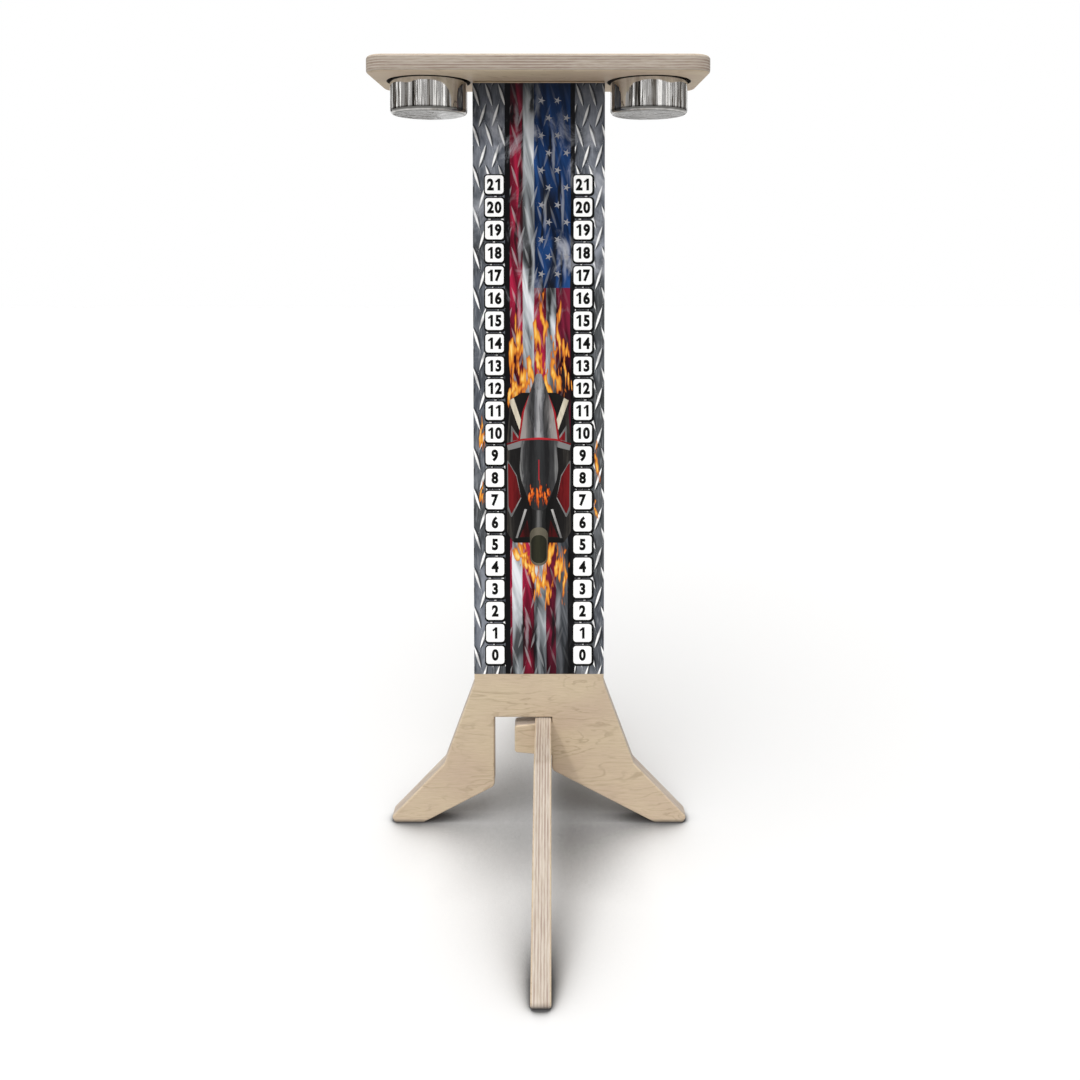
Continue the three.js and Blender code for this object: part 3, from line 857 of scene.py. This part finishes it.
def printMaterial():
    material, tree, shader = newMaterial("printedSheet", Roughness=ink["roughness"],
                                         Specular_IOR_Level=ink["gloss"])
    place = objectPlace(tree)
    parts = splitVector(tree, place)
    plate = useGroup(tree, treadPlate, {"Vector": place})

    # the cloth's stripes, in three heights, with their borders pushed about by the folds
    leaning = joinVector(tree, plus(tree, parts["X"], times(tree, parts["Z"], 0.16)), 0.0, parts["Z"])
    fold = noiseAt(tree, stretch(tree, leaning, (62, 1, 9)), detail=3, roughness=0.55, distortion=0.7)
    crease = noiseAt(tree, stretch(tree, place, (48, 1, 7), (3, 0, 1), (0, 24, 0)), detail=2,
                     distortion=0.5)
    push = times(tree, minus(tree, fold, 0.5), 0.0035)
    shareX = calc(tree, "DIVIDE", plus(tree, plus(tree, parts["X"], push), sheet["columnHalf"]),
                  2 * sheet["columnHalf"])
    top = colorSteps(tree, shareX, stripeStops([
        (-0.0755, flag["black"]), (-0.0332, flag["red"]), (-0.0183, flag["white"]),
        (-0.0056, flag["blue"]), (0.0364, flag["black"])]), "CONSTANT")
    middle = colorSteps(tree, shareX, stripeStops([
        (-0.0755, flag["black"]), (-0.0332, flag["red"]), (-0.0183, flag["white"]), (-0.0056, flag["red"]),
        (0.0080, flag["white"]), (0.0190, flag["darkRed"]), (0.0364, flag["black"])]), "CONSTANT")
    bottom = colorSteps(tree, shareX, stripeStops([
        (-0.0755, flag["black"]), (-0.0335, flag["red"]), (-0.0310, flag["white"]),
        (-0.0190, flag["red"]), (-0.0055, flag["white"]), (0.0080, flag["darkRed"]),
        (0.0200, flag["slate"]), (0.0335, flag["black"])]), "CONSTANT")
    cloth = blendColor(tree, calc(tree, "GREATER_THAN", parts["Z"], flag["cantonBottom"]), middle, top)
    cloth = blendColor(tree, calc(tree, "LESS_THAN", parts["Z"], flag["lowerTop"]), cloth, bottom)
    folded = colorSteps(tree, fold, [(0.34, (0.10, 0.10, 0.11)), (0.50, (0.80, 0.81, 0.83)),
                                     (0.66, (2.2, 2.1, 2.1))])
    cloth = blendColor(tree, 1.0, cloth, folded, "MULTIPLY")
    cloth = tint(tree, cloth, smoothStep(tree, crease, 0.58, 0.68), 0.85, (0.006, 0.006, 0.007))
    faint = times(tree, plate["Bars"], smoothStep(tree, shareX, 0.80, 0.35))
    cloth = tint(tree, cloth, faint, 0.34, (0.62, 0.64, 0.66))
    for x, z, length, width, lean in folds:
        crossed = useGroup(tree, clothFold, {"Vector": framed(tree, place, x, z, width, length, lean)})
        cloth = tint(tree, cloth, crossed["Light"], 0.30, (0.62, 0.64, 0.68))
        cloth = tint(tree, cloth, crossed["Dark"], 0.92, (0.005, 0.005, 0.006))
    edging = calc(tree, "LESS_THAN", parts["X"], -0.0332)
    cloth = blendColor(tree, edging, cloth, (*flag["black"], 1))

    onLeft = calc(tree, "LESS_THAN", parts["X"], flag["left"])
    onRight = calc(tree, "GREATER_THAN", parts["X"], flag["right"])
    color = blendColor(tree, calc(tree, "MAXIMUM", onLeft, onRight), cloth, plate["Color"])
    # painted shade: the print darkens towards the shelf above it
    shadeUnderShelf = smoothStep(tree, parts["Z"], 0.79, 0.88)
    color = tint(tree, color, shadeUnderShelf, 0.85, (0.008, 0.009, 0.012))

    # smoke drifts over the upper half
    drift = noiseAt(tree, stretch(tree, place, (20, 1, 11), (5, 0, 2), (0, -20, 0)), detail=5,
                    roughness=0.6, distortion=1.8)
    smoke = times(tree, smoothStep(tree, drift, 0.50, 0.72), smoothStep(tree, parts["Z"], 0.50, 0.68))
    smoke = times(tree, smoke, smoothStep(tree, parts["Z"], 0.85, 0.80))
    color = tint(tree, color, smoke, 0.55, (0.55, 0.565, 0.62))

    for x, z, wide, high, lean in flames:
        fire = fireAt(tree, place, x, z, wide, high, lean)
        color = blendColor(tree, fire["Mask"], color, fire["Color"])
    tree.links.new(color, shader.inputs["Base Color"])
    bumpFrom(tree, shader, noiseAt(tree, stretch(tree, place, (900, 900, 900)), detail=2), 0.00001)
    return material


def makeSheet():
    # the film follows the column's front and its two eased edges
    bm = bmesh.new()
    half = sheet["columnHalf"] - upright["easing"] + sheet["edgeCover"]
    back = sheet["front"] + sheet["wrap"]
    line = [(-half, back), (-half, sheet["front"]), (half, sheet["front"]), (half, back)]
    verts = [bm.verts.new((x, y, sheet["bottom"])) for x, y in line]
    edges = [bm.edges.new(pair) for pair in zip(verts, verts[1:])]
    raised = bmesh.ops.extrude_edge_only(bm, edges=edges)
    moved = [item for item in raised["geom"] if isinstance(item, bmesh.types.BMVert)]
    bmesh.ops.translate(bm, verts=moved, vec=(0, 0, sheet["top"] - sheet["bottom"]))
    corners = [edge for edge in bm.edges if abs(edge.verts[0].co.z - edge.verts[1].co.z) > 0.1
               and edge.verts[0].co.y < back - 1e-6]
    bmesh.ops.bevel(bm, geom=corners, offset=sheet["wrap"], offset_type="OFFSET", segments=6, profile=0.5,
                    affect="EDGES", material=-1, clamp_overlap=False)
    bmesh.ops.remove_doubles(bm, verts=bm.verts, dist=1e-6)
    bmesh.ops.recalc_face_normals(bm, faces=bm.faces)
    forward = max(bm.faces, key=lambda face: face.calc_area())
    if forward.normal.y > 0:
        bmesh.ops.reverse_faces(bm, faces=bm.faces)
    bmesh.ops.solidify(bm, geom=bm.faces, thickness=sheet["film"])
    piece = linkMesh("printed_score_sheet", bm, printMaterial(), 50)
    evenShading(piece)
    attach(piece, "stand")
    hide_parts("score_sheet")


makeSheet()
print("printed sheet made")

tiles = {
    "columns": (-0.0509, 0.0506),
    "count": 22,
    "topHeight": 0.7475,
    "pitch": 0.02604,
    "side": 0.0212,
    "corner": 0.0033,
    "outline": 0.0014,
    "shadow": 0.0011,
    "digitHeight": 0.0138,
    "digitWidth": 0.0079,
    "digitPitch": 0.0087,
    "digitWeight": 0.052,
    "numberLift": 3.9,      # in layers
    "numberDepth": 0.9,     # in layers
    "stemShare": 0.12,
    "flagSize": (0.0048, 0.0021),
    "flagLean": 40,
    "flagSet": 0.0021,
    "flagDrop": 0.0027,
    "layer": 0.00004,
}
printFront = sheet["front"] - sheet["film"]


def flatInk(name, color):
    material, tree, shader = newMaterial(name, Specular_IOR_Level=ink["gloss"])
    place = objectPlace(tree)
    speck = noiseAt(tree, stretch(tree, place, (500, 500, 500)), detail=2)
    darker = tuple(channel * 0.93 for channel in color)
    tree.links.new(colorSteps(tree, speck, [(0.3, darker), (0.7, color)]), shader.inputs["Base Color"])
    tree.links.new(plus(tree, ink["roughness"] - 0.04, times(tree, speck, 0.08)),
                   shader.inputs["Roughness"])
    return material


def layInk(name, bm, material):
    # stands a thin drawing up against the sheet's front
    standUp(bm)
    bmesh.ops.translate(bm, verts=bm.verts, vec=(0, printFront, 0))
    piece = linkMesh(name, bm, material)
    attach(piece, "stand")


def inkLayer(name, bm, material, level):
    # a flat drawing in the XY plane becomes a thin print at its layer
    thicken(bm, tiles["layer"] * (level + 0.5))
    layInk(name, bm, material)


def stamp(bm, template, x, z):
    copy = template.copy()
    copy.transform(Matrix.Translation((x, z, 0)))
    bm.from_mesh(copy)
    bpy.data.meshes.remove(copy)


def squareTemplate(side, corner, grow=(0, 0)):
    bm = bmesh.new()
    left = -side / 2
    right = side / 2 + grow[0]
    low = -side / 2 - grow[1]
    high = side / 2
    roundedFace(bm, [(right, high, corner), (left, high, corner), (left, low, corner),
                     (right, low, corner)], 5)
    bmesh.ops.recalc_face_normals(bm, faces=bm.faces)
    mesh = bpy.data.meshes.new("square")
    bm.to_mesh(mesh)
    bm.free()
    return mesh


def digitMesh(character):
    # one bold digit of the built-in font, centred on the origin
    curve = bpy.data.curves.new("digit", "FONT")
    curve.body = character
    curve.bevel_depth = tiles["digitWeight"]
    curve.bevel_resolution = 0
    curve.resolution_u = 5
    writing = bpy.data.objects.new("digit", curve)
    scene.collection.objects.link(writing)
    seen = bpy.context.evaluated_depsgraph_get()
    mesh = bpy.data.meshes.new_from_object(writing.evaluated_get(seen))
    bpy.data.objects.remove(writing)
    bpy.data.curves.remove(curve)
    left, right, low, high = meshSpan(mesh)
    mesh.transform(Matrix.Translation((-(left + right) / 2, -(low + high) / 2, 0)))
    return mesh


def meshSpan(mesh):
    xs = [vert.co.x for vert in mesh.vertices]
    ys = [vert.co.y for vert in mesh.vertices]
    return min(xs), max(xs), min(ys), max(ys)


def addFlag(mesh):
    # the slanted stroke at the top of a 1
    stem = tiles["digitPitch"] * tiles["stemShare"]
    mesh.transform(Matrix.Translation((stem, 0, 0)))
    bm = bmesh.new()
    bm.from_mesh(mesh)
    bar = bmesh.ops.create_cube(bm, size=1)["verts"]
    bmesh.ops.scale(bm, verts=bar, vec=(*tiles["flagSize"], tiles["numberDepth"] * tiles["layer"]))
    bmesh.ops.rotate(bm, verts=bar, matrix=Matrix.Rotation(math.radians(tiles["flagLean"]), 3, "Z"))
    top = tiles["digitHeight"] / 2
    bmesh.ops.translate(bm, verts=bar, vec=(stem - tiles["flagSet"], top - tiles["flagDrop"], 0))
    bm.to_mesh(mesh)
    bm.free()


def digitSet():
    # all ten digits at their printed size
    meshes = {character: digitMesh(character) for character in "0123456789"}
    left, right, low, high = meshSpan(meshes["0"])
    fit = Matrix.Diagonal((tiles["digitWidth"] / (right - left), tiles["digitHeight"] / (high - low),
                           tiles["layer"] / 2 / tiles["digitWeight"], 1))
    for mesh in meshes.values():
        mesh.transform(fit)
    addFlag(meshes["1"])
    return meshes


def makeTiles():
    black = flatInk("blackInk", (0.004, 0.004, 0.004))
    white = flatInk("whiteInk", (0.98, 0.98, 0.98))
    edge = squareTemplate(tiles["side"] + 2 * tiles["outline"], tiles["corner"] + tiles["outline"],
                          (tiles["shadow"], tiles["shadow"]))
    field = squareTemplate(tiles["side"], tiles["corner"])
    digits = digitSet()
    edges, fields, numbers = bmesh.new(), bmesh.new(), bmesh.new()
    for row in range(tiles["count"]):
        z = tiles["topHeight"] - row * tiles["pitch"]
        text = str(tiles["count"] - 1 - row)
        for x in tiles["columns"]:
            stamp(edges, edge, x, z)
            stamp(fields, field, x, z)
            for place, character in enumerate(text):
                stamp(numbers, digits[character], x + (place - (len(text) - 1) / 2) * tiles["digitPitch"],
                      z)
    bmesh.ops.translate(numbers, verts=numbers.verts, vec=(0, 0, tiles["numberLift"] * tiles["layer"]))
    inkLayer("tile_borders", edges, black, 2)
    inkLayer("tile_fields", fields, white, 3)
    layInk("tile_numbers", numbers, black)
    for mesh in (edge, field, *digits.values()):
        bpy.data.meshes.remove(mesh)


makeTiles()
print("score tiles made")

stars = {
    "radius": 0.0046,
    "innerShare": 0.34,
    "topHeight": 0.843,
    "pitch": 0.0198,
    "rows": 11,
    "even": (0.0031, 0.0216),
    "odd": (0.0114, 0.0318),
}


def makeStars():
    silver = flatInk("silverInk", (0.30, 0.30, 0.32))
    template = bmesh.new()
    ring = bmesh.ops.create_circle(template, cap_ends=True, segments=10, radius=stars["radius"])["verts"]
    for index, vert in enumerate(sorted(ring, key=lambda item: math.atan2(item.co.y, item.co.x))):
        if index % 2:
            vert.co *= stars["innerShare"]
    bmesh.ops.rotate(template, verts=template.verts, matrix=Matrix.Rotation(math.radians(18), 3, "Z"))
    mesh = bpy.data.meshes.new("star")
    template.to_mesh(mesh)
    template.free()
    bm = bmesh.new()
    for row in range(stars["rows"]):
        for x in stars["odd"] if row % 2 else stars["even"]:
            stamp(bm, mesh, x, stars["topHeight"] - row * stars["pitch"])
    inkLayer("printed_stars", bm, silver, 1)
    bpy.data.meshes.remove(mesh)


makeStars()
print("stars made")

dart = {   # right halves of outlines as (x, height, corner radius), mirrored to the left when drawn
    "backing": [(0.0200, 0.508, 0.006), (0.0330, 0.500, 0.004), (0.0368, 0.452, 0), (0.0368, 0.345, 0.006),
                (0.0290, 0.333, 0.003)],
    "nose": [(0.0030, 0.530, 0.002), (0.0105, 0.508, 0.008), (0.0170, 0.486, 0.03), (0.0218, 0.4530, 0)],
    "trim": [(0.0038, 0.524, 0.002), (0.0192, 0.486, 0.03), (0.0242, 0.4520, 0)],
    "barEdge": [(0.0015, 0.4560, 0), (0.0200, 0.4545, 0.02), (0.0372, 0.4490, 0), (0.0368, 0.4470, 0),
                (0.0200, 0.4525, 0.02), (0.0015, 0.4535, 0)],
    "bar": [(0.0015, 0.4537, 0), (0.0200, 0.4525, 0.02), (0.0368, 0.4472, 0), (0.0355, 0.4410, 0),
            (0.0200, 0.4450, 0.02), (0.0015, 0.4460, 0)],
    "canopy": [(0.0205, 0.4470, 0.004), (0.0228, 0.4130, 0.05), (0.0080, 0.3710, 0.007)],
    "line": [(0.0005, 0.4300, 0), (0.0005, 0.4060, 0)],
    "barrel": [(0.0085, 0.3750, 0), (0.0074, 0.3600, 0.02), (0.0085, 0.3430, 0)],
    "crossBar": [(0.0285, 0.3385, 0.002), (0.0285, 0.3330, 0.002)],
    "tail": [(0.0108, 0.3510, 0.0095), (0.0100, 0.3060, 0.0095)],
    "tailCap": [(0.0092, 0.3420, 0.0085), (0.0088, 0.3090, 0.0080)],
}

dartSides = {   # outlines at the right, drawn again at the left
    "brace": [(0.0345, 0.4990, 0), (0.0290, 0.5020, 0), (0.0180, 0.4690, 0), (0.0222, 0.4640, 0)],
    "finEdge": [(0.0318, 0.4700, 0), (0.0205, 0.4525, 0), (0.0325, 0.4500, 0)],
    "fin": [(0.0303, 0.4640, 0), (0.0232, 0.4535, 0), (0.0303, 0.4520, 0)],
    "podEdge": [(0.0368, 0.4310, 0.001), (0.0362, 0.3720, 0.002), (0.0318, 0.3620, 0.001),
                (0.0205, 0.3850, 0), (0.0255, 0.4120, 0)],
    "pod": [(0.0358, 0.4280, 0.001), (0.0352, 0.3760, 0.002), (0.0318, 0.3665, 0.001), (0.0208, 0.3865, 0),
            (0.0262, 0.4110, 0)],
    "strut": [(0.0165, 0.3725, 0), (0.0138, 0.3720, 0), (0.0248, 0.3380, 0), (0.0270, 0.3385, 0)],
    "panel": [(0.0135, 0.3600, 0), (0.0098, 0.3400, 0), (0.0222, 0.3395, 0)],
}


def emblemMaterial(name, stops, scale, fires=()):
    # paint shaded across its width, as on something round, with fine streaks
    material, tree, shader = newMaterial(name, Roughness=ink["roughness"], Specular_IOR_Level=ink["gloss"])
    place = objectPlace(tree)
    parts = splitVector(tree, stretch(tree, place, (scale, 1, scale)))
    streak = noiseAt(tree, stretch(tree, place, (210, 1, 26)), detail=5, roughness=0.65, distortion=0.6)
    across = plus(tree, calc(tree, "ABSOLUTE", parts["X"]), times(tree, minus(tree, streak, 0.5), 0.9))
    color = colorSteps(tree, across, stops)
    for x, z, wide, high, lean in fires:
        fire = fireAt(tree, place, x, z, wide, high, lean)
        glow = blendColor(tree, 1.0, fire["Color"], (0.9, 0.42, 0.35, 1), "MULTIPLY")
        color = blendColor(tree, fire["Mask"], color, glow)
    tree.links.new(color, shader.inputs["Base Color"])
    return material


def eachSide(outline):
    return [outline, [(-x, z, radius) for x, z, radius in reversed(outline)]]


def bothSides(half):
    return half + [(-x, z, radius) for x, z, radius in reversed(half)]


def emblemShape(name, outlines, material, level):
    bm = bmesh.new()
    for outline in outlines:
        part = bmesh.new()
        roundedFace(part, outline, 6)
        bmesh.ops.recalc_face_normals(part, faces=part.faces)
        mesh = bpy.data.meshes.new("part")
        part.to_mesh(mesh)
        part.free()
        bm.from_mesh(mesh)
        bpy.data.meshes.remove(mesh)
    inkLayer(name, bm, material, level)


paints = {   # name: scale across the width, colour steps
    "night": (26, [(0.1, (0.004, 0.004, 0.004)), (0.75, (0.012, 0.011, 0.011)), (1.0, (0.05, 0.045, 0.04))]),
    "silver": (50, [(0.0, (0.36, 0.36, 0.37)), (0.18, (0.16, 0.16, 0.17)), (0.38, (0.025, 0.025, 0.027)),
                    (0.62, (0.12, 0.115, 0.115)), (0.85, (0.30, 0.27, 0.26))]),
    "red": (30, [(0.1, (0.45, 0.02, 0.03)), (0.6, (0.30, 0.012, 0.018)), (1.0, (0.12, 0.006, 0.01))]),
    "darkRed": (28, [(0.4, (0.02, 0.004, 0.004)), (0.7, (0.10, 0.006, 0.008)), (1.0, (0.16, 0.01, 0.012))]),
    "edge": (30, [(0.3, (0.46, 0.45, 0.44)), (0.9, (0.13, 0.13, 0.13))]),
    "cream": (28, [(0.4, (0.24, 0.20, 0.15)), (0.7, (0.66, 0.60, 0.48)), (1.0, (0.36, 0.31, 0.23))]),
    "canopy": (46, [(0.0, (0.035, 0.036, 0.038)), (0.45, (0.012, 0.012, 0.013)), (0.8, (0.05, 0.05, 0.052)),
                    (1.1, (0.20, 0.20, 0.20))]),
    "barrel": (90, [(0.0, (0.14, 0.14, 0.14)), (0.3, (0.02, 0.02, 0.02)), (0.8, (0.006, 0.006, 0.006))]),
    "tail": (80, [(0.0, (0.15, 0.135, 0.10)), (0.9, (0.07, 0.062, 0.045))]),
    "tailCap": (80, [(0.0, (0.030, 0.030, 0.018)), (0.9, (0.008, 0.008, 0.006))]),
}

canopyFires = [(-0.009, 0.391, 0.004, 0.014, 6), (0.001, 0.393, 0.004, 0.019, -4),
               (0.010, 0.391, 0.004, 0.013, 4)]

emblem = [   # piece, outlines, paint, layer
    ("emblem_backing", ["backing"], "night", 0.2),
    ("emblem_braces", ["brace"], "cream", 0.6),
    ("emblem_edges", ["finEdge", "podEdge", "strut"], "edge", 0.8),
    ("emblem_pods", ["pod", "panel"], "darkRed", 1.0),
    ("emblem_red", ["trim", "fin"], "red", 1.0),
    ("emblem_barrel", ["barrel", "crossBar"], "barrel", 1.1),
    ("emblem_canopy", ["canopy"], "canopy", 1.2),
    ("emblem_nose", ["nose"], "silver", 1.3),
    ("emblem_bar", ["bar"], "canopy", 1.5),
    ("emblem_lines", ["barEdge", "line"], "red", 1.6),
    ("emblem_tail", ["tail"], "tail", 1.6),
    ("emblem_tail_cap", ["tailCap"], "tailCap", 1.9),
]


def makeDart():
    made = {}
    for name, (scale, stops) in paints.items():
        made[name] = emblemMaterial(name + "Paint", stops, scale, canopyFires if name == "canopy" else ())
    for name, words, paint, level in emblem:
        outlines = []
        for word in words:
            outlines += [bothSides(dart[word])] if word in dart else eachSide(dartSides[word])
        emblemShape(name, outlines, made[paint], level)


makeDart()
print("emblem made")

studio = {
    "floorSide": 14.0,
    "keyAzimuth": 30.0,     # degrees to the left of straight ahead
    "keyHeight": 47.0,
    "keyStrength": 0.8,
    "keyAngle": 3.0,
    "keyColor": (1.0, 0.975, 0.94),
    "fillStrength": 0.55,
    "fillAngle": 40.0,
    "fillFrom": (1, -0.35, 0.7),
    "topStrength": 2.35,
    "topAngle": 55.0,
    "topFrom": (-0.22, -0.45, 1),
    "worldStrength": 0.46,
    "floorTone": 0.93,
    "floorBounce": 0.72,
    "contactReach": 0.13,
    "contactDepth": 2.8,
    "contactPower": 1.5,
    "contactMost": 0.9,
}


def makeFloor():
    bm = bmesh.new()
    bmesh.ops.create_grid(bm, x_segments=1, y_segments=1, size=studio["floorSide"] / 2)
    material, tree, shader = newMaterial("paleFloor", Roughness=0.9, Specular_IOR_Level=0.1)
    bounce = [studio["floorBounce"]] * 3 + [1]
    seen = [studio["floorTone"]] * 3 + [1]
    # painted shadow: the floor's colour darkens towards black where ambient occlusion finds the stand close
    # by
    openSky = addNode(tree, "ShaderNodeAmbientOcclusion", {"Distance": studio["contactReach"]}, samples=24)
    closed = minus(tree, 1.0, openSky.outputs["AO"])
    contactShadow = times(tree, calc(tree, "POWER", closed, studio["contactPower"]), studio["contactDepth"])
    seen = blendColor(tree, calc(tree, "MINIMUM", contactShadow, studio["contactMost"]), seen, (0.04, 0.04, 0.042, 1))
    straight = addNode(tree, "ShaderNodeLightPath").outputs["Is Camera Ray"]
    tree.links.new(blendColor(tree, straight, bounce, seen), shader.inputs["Base Color"])
    floor = linkMesh("studio_floor", bm, material)
    floor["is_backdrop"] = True


def makeWorld():
    world = bpy.data.worlds.new("studio")
    scene.world = world
    world.use_nodes = True
    tree = world.node_tree
    tree.nodes.clear()
    direction = addNode(tree, "ShaderNodeTexCoord").outputs["Generated"]
    bands = noiseAt(tree, stretch(tree, direction, (7, 7, 0.35)), detail=3, roughness=0.7)
    streaks = colorSteps(tree, bands, [(0.38, (0.005, 0.005, 0.005)), (0.45, (0.10, 0.085, 0.07)),
                                       (0.50, (0.34, 0.33, 0.32)), (0.56, (0.50, 0.50, 0.51)),
                                       (0.60, (1.7, 1.7, 1.7)), (0.68, (0.30, 0.30, 0.30))])
    plain = addNode(tree, "ShaderNodeBackground", {"Color": (1, 1, 1, 1), "Strength": 1.0})
    soft = addNode(tree, "ShaderNodeBackground", {"Color": (1, 0.99, 0.975, 1),
                                                  "Strength": studio["worldStrength"]})
    room = addNode(tree, "ShaderNodeBackground", {"Color": streaks, "Strength": 1.0})
    path = addNode(tree, "ShaderNodeLightPath").outputs
    first = addNode(tree, "ShaderNodeMixShader", {0: path["Is Glossy Ray"], 1: soft.outputs[0],
                                                  2: room.outputs[0]})
    second = addNode(tree, "ShaderNodeMixShader", {0: path["Is Camera Ray"], 1: first.outputs[0],
                                                   2: plain.outputs[0]})
    out = addNode(tree, "ShaderNodeOutputWorld")
    tree.links.new(second.outputs[0], out.inputs["Surface"])


def addSun(name, strength, angle, towards, lit=None):
    light = bpy.data.lights.new(name, "SUN")
    light.energy = strength
    light.angle = math.radians(angle)
    made = bpy.data.objects.new(name, light)
    made.rotation_euler = Vector(towards).to_track_quat("Z", "Y").to_euler()
    scene.collection.objects.link(made)
    if lit is not None:
        made.light_linking.receiver_collection = lit
    return light


def makeLights():
    lit = bpy.data.collections.new("litPieces")
    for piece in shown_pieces():
        lit.objects.link(piece)
    azimuth = math.radians(studio["keyAzimuth"])
    height = math.radians(studio["keyHeight"])
    towards = (-math.sin(azimuth) * math.cos(height), -math.cos(azimuth) * math.cos(height),
               math.sin(height))
    key = addSun("key", studio["keyStrength"], studio["keyAngle"], towards, lit)
    key.color = studio["keyColor"]
    addSun("fill", studio["fillStrength"], studio["fillAngle"], studio["fillFrom"], lit)
    addSun("top", studio["topStrength"], studio["topAngle"], studio["topFrom"])


def makeCamera():
    view = {"x": 0.0146, "distance": 0.9886, "height": 0.6922, "pitch": 1.97, "lens": 28.733,
            "shift": (-0.01065, -0.2569)}
    data = bpy.data.cameras.new("camera")
    data.lens = view["lens"]
    data.sensor_width = 36
    data.shift_x, data.shift_y = view["shift"]
    data.clip_start = 0.05
    camera = bpy.data.objects.new("camera", data)
    camera.location = (view["x"], uprightLow.y - view["distance"], view["height"])
    camera.rotation_euler = (math.radians(90 - view["pitch"]), 0, 0)
    scene.collection.objects.link(camera)
    bpy.context.scene.camera = camera


makeFloor()
makeWorld()
makeLights()
makeCamera()
print("studio made")
